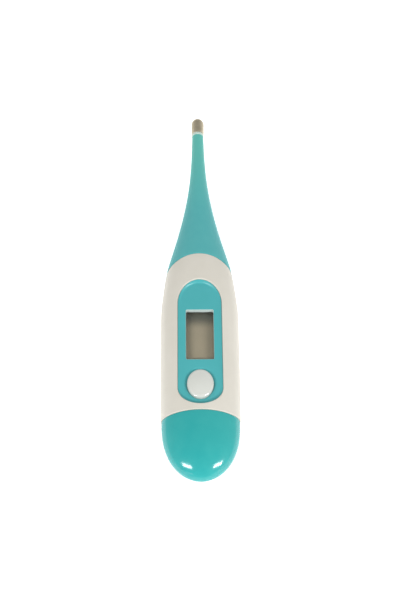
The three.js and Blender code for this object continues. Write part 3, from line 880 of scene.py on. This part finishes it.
def face_panel():
    bm = bmesh.new()
    under = 9.75
    hoops = [at_height(well_outline(-PANEL_GAP), under)]
    hoops += [lowered(well_outline(-PANEL_GAP), 0.4), lowered(well_outline(-PANEL_GAP - 0.04), 0.3)]
    hoops += [border_hoop(share) for share in ease(0, 1, 14)]
    hoops.append(at_height(well_outline(-PANEL_GAP - BORDER - 0.1), FLOOR))
    outer_start, outer_end = grow(bm, hoops)

    window = [at_height(rounded_window(0.3), FLOOR), at_height(rounded_window(0.22), FLOOR)]
    for across, down in quarter(3):
        window.append(at_height(rounded_window(WINDOW_GAP + across * 0.1), FLOOR - down * 0.1))
    window.append(at_height(rounded_window(WINDOW_GAP), under))
    window_start, window_end = grow(bm, window)

    dish = [(DISH_WIDE, 0.0), (1.05, 0.005), (0.85, 0.035), (0.6, 0.1), (0.35, 0.18)]
    dish += [(0.16, 0.23), (0.1, 0.27), (0.06, 0.34)]
    key_hole = [dish_hoop(out, drop) for out, drop in dish]
    key_hole.append(at_height(oval(KEY_Y, KEY_HALF + 0.06, KEY_LONG + 0.06), under))
    key_start, key_end = grow(bm, key_hole)

    fill(bm, outer_end, window_start, key_start)
    fill(bm, outer_start, window_end, key_end)
    return keep(bm, "panel_tray", PANEL_ABS, "housing", ["face_panel"])


face_panel()

# %% [markdown]
# ## Window
# The clear window is a stepped block: its top fills the opening in the panel and its foot hides
# below. Seen from the near end, a pale line runs along the far side of the display, where the
# window's far wall catches the light. So the window's edge is a thin frame of its own round the
# clear part, in a pale finish that is a painted highlight.


# %% Window, its edge, and the display glass
def frame_piece(name, finish, outer, inner, low, high, ease_by, node=()):
    """A closed frame between two outlines, with its upper edges eased."""
    bm = bmesh.new()
    steps = [(inner, low), (inner, high - ease_by), (inner + ease_by, high)]
    steps += [(outer, high), (outer, low)]
    hoops = [at_height(rounded_window(out), z) for out, z in steps]
    grow(bm, hoops, closed=True)
    return keep(bm, name, finish, "housing", node)


def slab(name, finish, half, long, low, high, edge, node):
    """A plate over the window's centre, with bevelled edges."""
    bm = bmesh.new()
    bmesh.ops.create_cube(bm, size=1)
    bmesh.ops.scale(bm, vec=(2 * half * MM, 2 * long * MM, (high - low) * MM), verts=bm.verts)
    middle = Vector((0, WINDOW_Y, (low + high) / 2)) * MM
    bmesh.ops.translate(bm, vec=middle, verts=bm.verts)
    bmesh.ops.bevel(
        bm, geom=bm.edges, offset=edge * MM, segments=3, profile=0.5, affect="EDGES", material=-1
    )
    return keep(bm, name, finish, "housing", node)


# the window's edge as a thin frame whose pale finish is a painted highlight along its walls
frame_piece("window_highlight_frame", WINDOW_HIGHLIGHT_EDGE, 0.05, 0.0, 9.3, FLOOR - 0.06, 0.02)
slab("window_clear", CLEAR_ACRYLIC, WINDOW_HALF - 0.03, WINDOW_LONG - 0.03, 9.35, 10.35, 0.1,
     ["window_lens"])
slab("display_front_glass", POLARISER, 4.9, 9.6, 7.85, 8.6, 0.08, ["lcd_front_glass"])

# %% [markdown]
# ## Key
# The key is a glossy oval button like a flat pebble. Its side rises only just above the tray, and
# then a round shoulder of nearly a millimetre leads to a soft crown. That shoulder is what gives
# a moulded key its pair of bright marks. Hoops climb the side, roll over the shoulder and close
# at the crown, which lies as far above the tray as the key can be pressed.

# %% Key
KEY_SIDE_TOP = FLOOR + 0.12
KEY_SHOULDER = (0.9, 0.78)  # how far the shoulder reaches in, and up
KEY_CROWN = 11.9


def key_profile():
    """Pairs of inset from the key's side and height, from its flange to its crown."""
    base, flange = 8.75, 9.55
    profile = [(-0.45, base), (-0.5, base + 0.1), (-0.5, flange), (0.0, flange), (0.0, 10.2)]
    wide, tall = KEY_SHOULDER
    for i in range(9):
        t = math.pi / 2 * i / 9
        profile.append((wide * (1 - math.cos(t)), KEY_SIDE_TOP + tall * math.sin(t)))
    inset, height = wide, KEY_SIDE_TOP + tall
    for i in range(10):
        share = i / 9
        rise = (KEY_CROWN - height) * (1 - (1 - share) ** 2)
        profile.append((inset + share * (KEY_HALF - inset), height + rise))
    return profile


def key_cap():
    bm = bmesh.new()
    hoops = []
    for inset, z in key_profile():
        share = max(inset, 0) / KEY_HALF
        half, long = KEY_HALF - inset, (KEY_LONG - min(inset, 0)) - KEY_LONG * share
        hoops.append(at_height(oval(KEY_Y, half, long), z))
    start, _ = grow(bm, hoops)
    fill(bm, start)
    return keep(bm, "key_button", KEY_GLOSS, "key", ["key_cap"])


key_cap()

# %% [markdown]
# ## What the cap uncovers
# Pulled off, the cap shows an ivory spigot with a sealing ring in its groove, and a cup with the
# button cell under its spring. The spigot and the ring are hoops again, on the skin at a smaller
# size. The cup could be spun whole and cut open, but its wall's section swept through part of a
# turn leaves the mouth open from the start. The cell is a spun can with a crimped edge.

# %% Battery bay
SPIGOT_INSET = CAP_INSET + WALL + 0.3
SPIGOT_BACK, SPIGOT_FRONT = -54, -46.6
COLLAR_INSET = 1.6
GROOVE_FRONT, GROOVE_BACK, GROOVE_DEEP = -50.2, -51.8, 1.1
SEAL_Y, SEAL_RADIUS, SEAL_SINK = -51.0, 0.55, 0.47
CELL_Y, CELL_RADIUS, CELL_UNDER, CELL_HIGH = -57.8, 3.95, 4.3, 3.6
CUP_RADIUS, CUP_SEAT, CUP_MOUTH = 5.0, 4.1, 3.6  # outside, inside, and half of its opening
CUP_FLOOR, CUP_BED, CUP_RIM = 3.3, 4.05, 7.4  # heights
CUP_EASE = 0.15
BRIDGE_SIZE, BRIDGE_AT = (8.8, 6.6, 0.71), (0, -55.2, 3.675)


def passage_hoop(y, half=5.6, low=3.5, high=9.0):
    """The spigot's rectangular passage, as a hoop that matches the skin's hoops."""
    middle, tall = (low + high) / 2, (high - low) / 2
    places = []
    for t in full_turn():
        c, s = math.cos(t), math.sin(t)
        stretch = (abs(c) ** 6 + abs(s) ** 6) ** (-1 / 6)
        places.append(Vector((half * c * stretch, y, middle + tall * s * stretch)) * MM)
    return places


def skin_hoop(y, inset):
    return [on_skin(t, y, inset) for t in full_turn()]


def spigot():
    bm = bmesh.new()
    plain, groove = SPIGOT_INSET, SPIGOT_INSET + GROOVE_DEEP
    stops = [(SPIGOT_FRONT, COLLAR_INSET), (-47.3, COLLAR_INSET), (-47.5, plain)]
    stops += [(GROOVE_FRONT, plain), (GROOVE_FRONT, groove)]
    stops += [(GROOVE_BACK, groove), (GROOVE_BACK, plain)]
    stops += [(-53.8, plain), (-53.94, plain + 0.06), (SPIGOT_BACK, plain + 0.2)]
    hoops = [passage_hoop(SPIGOT_FRONT)]
    hoops += [skin_hoop(y, inset) for y, inset in stops]
    hoops += [passage_hoop(SPIGOT_BACK), passage_hoop(-50)]
    grow(bm, hoops, closed=True)
    return keep(bm, "bay_spigot", IVORY_ABS, "housing", ["battery_bay"])


def cell_cup():
    """The cup that holds the cell, open towards the spigot, on a bridge that runs back to it."""
    open_half = math.asin(CUP_MOUTH / CUP_SEAT)
    steps = 72
    turn = 2 * math.pi - 2 * open_half
    sweep = [math.pi / 2 + open_half + turn * i / steps for i in range(steps + 1)]
    bm = bmesh.new()

    def wall_ring(t):
        """The wall's section at an angle round the cell, as a closed loop from floor to rim."""
        shoulder = CUP_RIM - CUP_EASE
        corners = ((0, CUP_FLOOR), (CUP_RADIUS, CUP_FLOOR), (CUP_RADIUS, shoulder))
        corners += ((CUP_RADIUS - CUP_EASE, CUP_RIM), (CUP_SEAT + CUP_EASE, CUP_RIM))
        corners += ((CUP_SEAT, shoulder), (CUP_SEAT, CUP_BED), (0, CUP_BED))
        return [Vector((r * math.cos(t), CELL_Y + r * math.sin(t), z)) * MM for r, z in corners]

    for loop in grow(bm, [wall_ring(t) for t in sweep]):
        fill(bm, loop)
    return keep(bm, "cell_cup", IVORY_ABS, "housing", ["battery_bay"])


def cell_bridge():
    """The block between the cup and the spigot, under the cell's mouth."""
    bm = bmesh.new()
    bmesh.ops.create_cube(bm, size=1)
    bmesh.ops.scale(bm, vec=Vector(BRIDGE_SIZE) * MM, verts=bm.verts)
    bmesh.ops.translate(bm, vec=Vector(BRIDGE_AT) * MM, verts=bm.verts)
    bmesh.ops.bevel(
        bm, geom=bm.edges, offset=0.08 * MM, segments=2, profile=0.5, affect="EDGES", material=-1
    )
    return keep(bm, "cell_bridge", IVORY_ABS, "housing", ["battery_bay"])


def seal_ring():
    bm = bmesh.new()
    hoops = []
    steps = 12
    for i in range(steps):
        t = 2 * math.pi * i / steps
        inset = SPIGOT_INSET + SEAL_SINK - SEAL_RADIUS * math.cos(t)
        hoops.append(skin_hoop(SEAL_Y + SEAL_RADIUS * math.sin(t), inset))
    grow(bm, hoops, closed=True)
    return keep(bm, "seal_bead", SILICONE, "housing", ["seal_ring"])


def upright_spin(name, finish, y, profile, replaces, steps=72):
    """Spins a profile of (radius, z) about an upright axis at y."""
    bm = bmesh.new()
    verts = [bm.verts.new((r * MM, y * MM, z * MM)) for r, z in profile]
    edges = [bm.edges.new(pair) for pair in zip(verts, verts[1:])]
    bmesh.ops.spin(
        bm, geom=verts + edges, cent=(0, y * MM, 0), axis=(0, 0, 1), angle=2 * math.pi,
        steps=steps, use_merge=True,
    )
    return keep(bm, name, finish, "housing", replaces)


def button_cell():
    r, low, high = CELL_RADIUS, CELL_UNDER, CELL_UNDER + CELL_HIGH
    step = high - 0.5
    can = [(0, low), (r - 0.5, low), (r - 0.15, low + 0.05), (r - 0.03, low + 0.18)]
    can += [(r, low + 0.4), (r, step - 0.15), (r - 0.05, step - 0.03), (r - 0.2, step)]
    can += [(r - 0.42, step - 0.02), (r - 0.5, step - 0.12), (r - 0.56, step)]
    can += [(r - 0.6, high - 0.1), (r - 0.72, high), (0, high)]
    return upright_spin("button_cell", CELL_STEEL, CELL_Y, can, ["battery_cell"])


spigot()
cell_cup()
cell_bridge()
seal_ring()
button_cell()

# %% [markdown]
# ## Finishes of the pieces kept from the frame
# Everything else already has its true shape in the frame: board, chips, contacts, leads and the
# rest. They only need a finish, so their material slots are filled from one list.

# %% Finish the kept pieces
FINISH_OF = {
    "display_gasket": BLACK_FOAM,
    "lcd_rear_glass": REAR_GLASS,
    "lcd_reflector": REFLECTOR,
    "lcd_cradle": IVORY_ABS,
    "zebra_strip": BLACK_FOAM,
    "circuit_board": BOARD_GREEN,
    "chip_blob": BLACK_EPOXY,
    "clock_crystal": CELL_STEEL,
    "capacitor": CERAMIC,
    "resistor": BLACK_EPOXY,
    "snap_dome": CELL_STEEL,
    "buzzer_plate": SPRING_BRASS,
    "buzzer_ceramic": CERAMIC,
    "buzzer_lead": SPRING_BRASS,
    "key_stem": SILICONE,
    "key_gasket": SILICONE,
    "contact": SPRING_BRASS,
    "probe_core": IVORY_ABS,
    "lead": WIRE_GREY,
    "thermal_resin": RESIN,
    "thermistor": BLACK_EPOXY,
}

for name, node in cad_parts.items():
    if node.hide_render:
        continue
    found = max((key for key in FINISH_OF if name.startswith(key)), key=len)
    node.data.materials.clear()
    node.data.materials.append(FINISH_OF[found])
    print(name, "is", FINISH_OF[found].name)

# %% [markdown]
# ## Table, light and camera
# A pale table and soft light suit a small glossy object. Two softboxes stand in front, one on
# either side, and each draws one bright mark on the cap and on the key. Two weak cards lie low
# beside them and soften the cap's near edge. A dome of weaker light fills the rest. It is paler
# near the horizon, as a paper sweep is, which keeps the rounded sides from going dark. A long lens
# from the cap's end, well above the table, keeps the taper honest.

# %% Table
TABLE_HALF = 3.2


def table_top():
    bm = bmesh.new()
    bmesh.ops.create_grid(bm, x_segments=1, y_segments=1, size=TABLE_HALF)
    mesh = bpy.data.meshes.new("table_top")
    bm.to_mesh(mesh)
    bm.free()
    table = bpy.data.objects.new("table_top", mesh)
    bpy.context.scene.collection.objects.link(table)
    paint = Paint("table_white", Roughness=0.6, Emission_Color=(1, 1, 1, 1), Emission_Strength=0.4)
    speck = paint.noise(30, detail=2)
    paint.set(Base_Color=paint.mix(speck, colour(252, 252, 252), colour(249, 249, 250)))
    mesh.materials.append(paint.material)


table_top()

# %% Softboxes


def direction(azimuth, height):
    """A unit vector: azimuth in degrees from -Y towards +X, and height above level."""
    a, h = math.radians(azimuth), math.radians(height)
    return Vector((math.sin(a) * math.cos(h), -math.cos(a) * math.cos(h), math.sin(h)))


def softbox(name, toward, along, size, brightness, distance=0.9):
    """A rectangular lamp that faces the object, with its long side turned along a direction."""
    lamp = bpy.data.lights.new(name, "AREA")
    lamp.shape = "RECTANGLE"
    lamp.size, lamp.size_y = (2 * distance * math.tan(math.radians(a / 2)) for a in size)
    lamp.energy = brightness * math.pi * lamp.size * lamp.size_y
    holder = bpy.data.objects.new(name, lamp)
    bpy.context.scene.collection.objects.link(holder)
    x = (along - along.dot(toward) * toward).normalized()
    holder.matrix_world = Matrix((x, toward.cross(x), toward)).transposed().to_4x4()
    holder.matrix_world.translation = toward * distance
    holder.visible_camera = False
    print(name, "gives", round(lamp.energy, 1), "W")


softbox("softbox_left", direction(-48, 38), Vector((0.471, -0.129, 0.25)), (23, 9), 31)
softbox("softbox_right", direction(55, 34), Vector((0.39, 0.19, -0.284)), (22, 9), 34)
softbox("card_left", direction(-34.5, 12), Vector((1, 0.7, 0)), (22, 6), 2.2)
softbox("card_right", direction(53, 6), Vector((1, -1.3, 0)), (26, 6), 2.0)

# %% Surround
HORIZON_LIGHT, ZENITH_LIGHT = 0.68, 0.33

surround = bpy.data.worlds.new("surround")
bpy.context.scene.world = surround
surround.use_nodes = True
nodes, links = surround.node_tree.nodes, surround.node_tree.links
place = nodes.new("ShaderNodeTexCoord")
height = nodes.new("ShaderNodeSeparateXYZ")
falloff = nodes.new("ShaderNodeMapRange")
links.new(place.outputs["Generated"], height.inputs[0])
links.new(height.outputs[2], falloff.inputs[0])
falloff.inputs[3].default_value = HORIZON_LIGHT
falloff.inputs[4].default_value = ZENITH_LIGHT
links.new(falloff.outputs[0], nodes["Background"].inputs["Strength"])
nodes["Background"].inputs["Color"].default_value = (1.0, 1.0, 1.0, 1.0)
bpy.context.scene.view_settings.view_transform = "Standard"

# %% Camera
DISTANCE = 0.45
TILT = math.radians(55.2)
SWING = math.radians(-0.53)
LENS = 88.65
AIM = Vector((0.32, -5.6, 6.0)) * MM

view = bpy.data.cameras.new("view")
view.lens = LENS
view.sensor_width = 36.0
view.clip_start = 0.01
eye = bpy.data.objects.new("view", view)
bpy.context.scene.collection.objects.link(eye)
level = math.cos(TILT)
toward = Vector((math.sin(SWING) * level, -math.cos(SWING) * level, math.sin(TILT)))
eye.location = AIM + toward * DISTANCE
eye.rotation_euler = (-toward).to_track_quat("-Z", "Y").to_euler()
bpy.context.scene.camera = eye
print("eye at", [round(c, 3) for c in eye.location])
